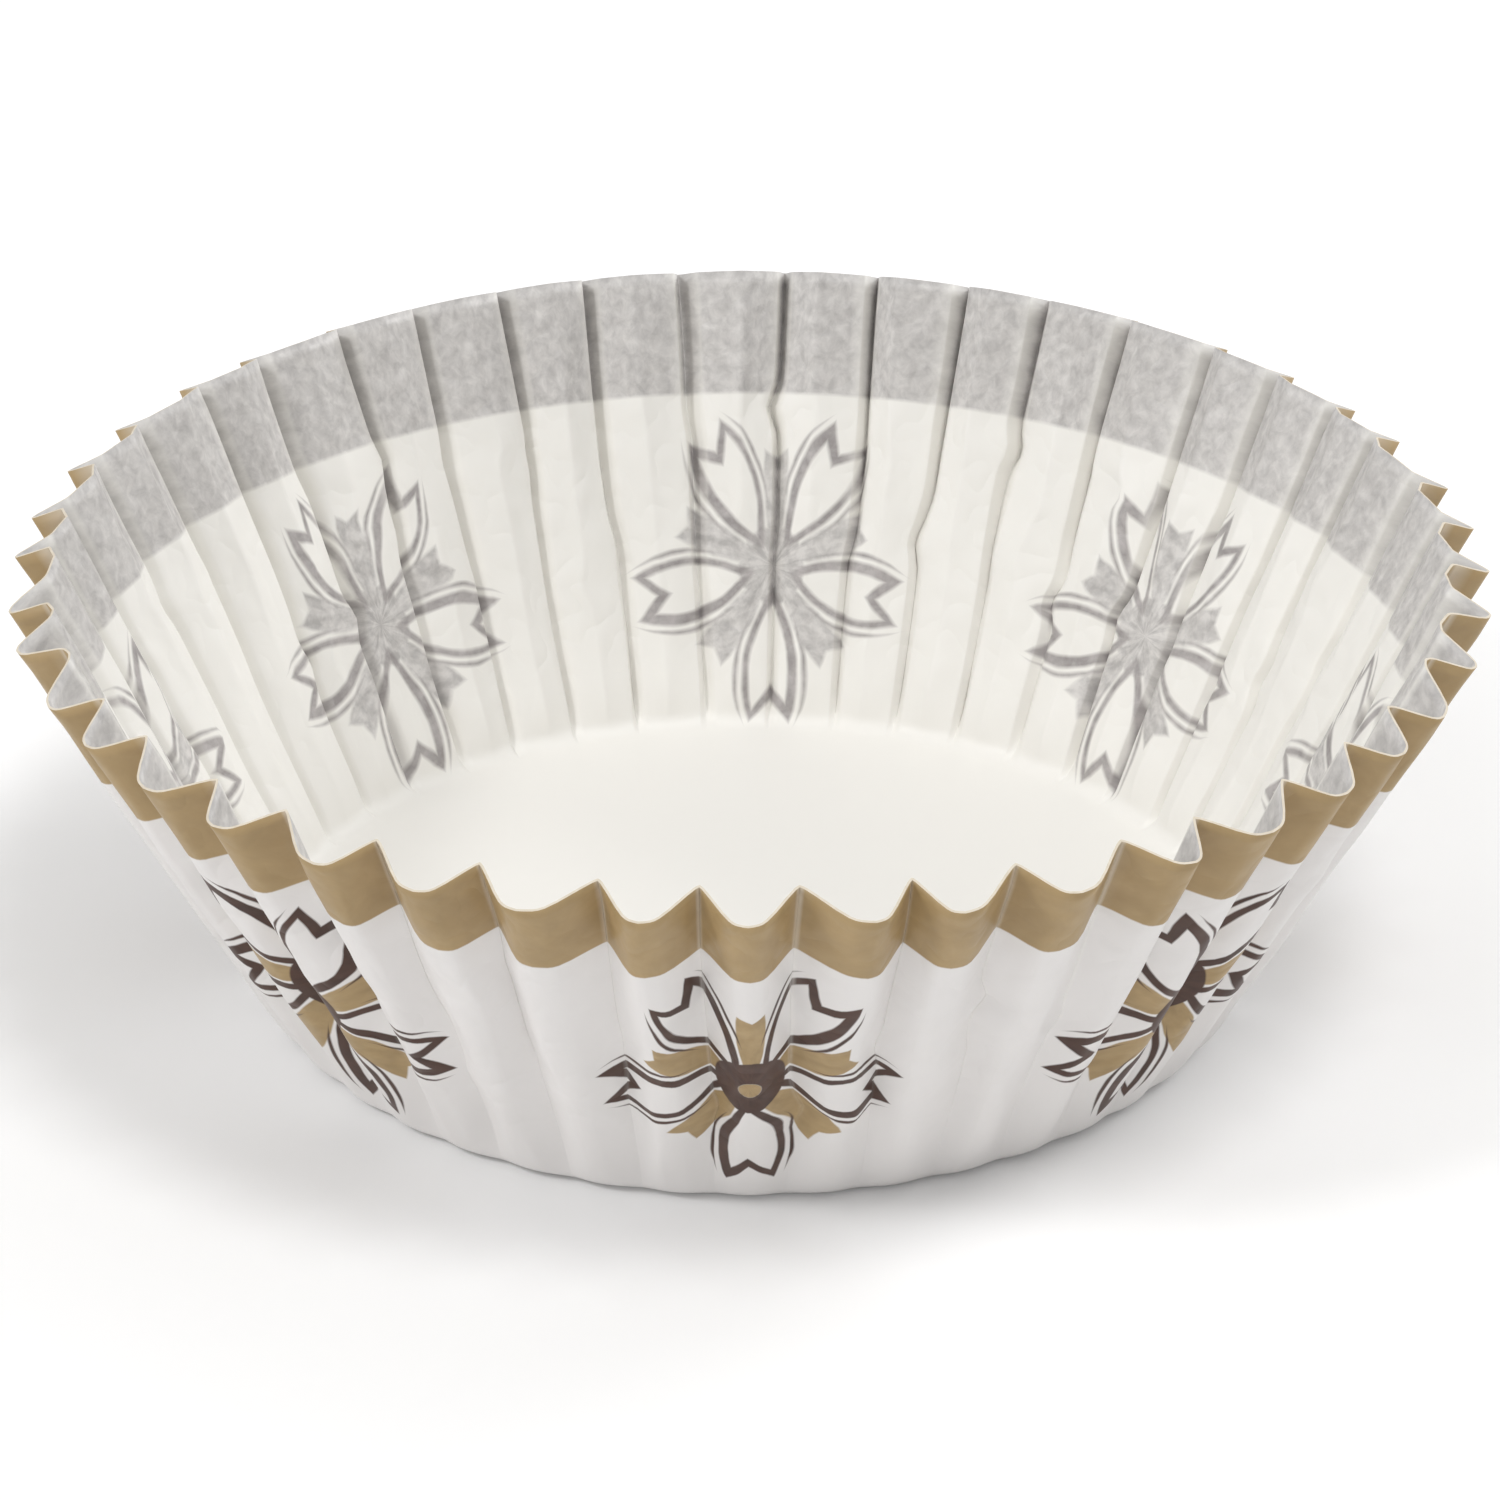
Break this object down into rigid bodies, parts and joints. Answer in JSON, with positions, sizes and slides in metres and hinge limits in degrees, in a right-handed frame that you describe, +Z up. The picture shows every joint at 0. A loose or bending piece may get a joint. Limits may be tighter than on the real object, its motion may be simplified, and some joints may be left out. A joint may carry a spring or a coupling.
{
  "type": "paper baking case",
  "caption": "Round fluted baking case pressed from one sheet of printed greaseproof paper, with a flat floor and a flaring wall.",
  "frame": {"origin": "middle of the flat underside, where the case stands on the table", "axes": "+Z up along the axis of the cup, -Y towards the side that faces the camera in the picture, with an outer fold of a flute on it"},
  "size_m": [0.0744, 0.0744, 0.023],
  "materials": {
    "printed_paper": "matt greaseproof paper, printed on the outside"
  },
  "bodies": {
    "root": {"baking_case": "printed_paper"}
  },
  "joints": []
}
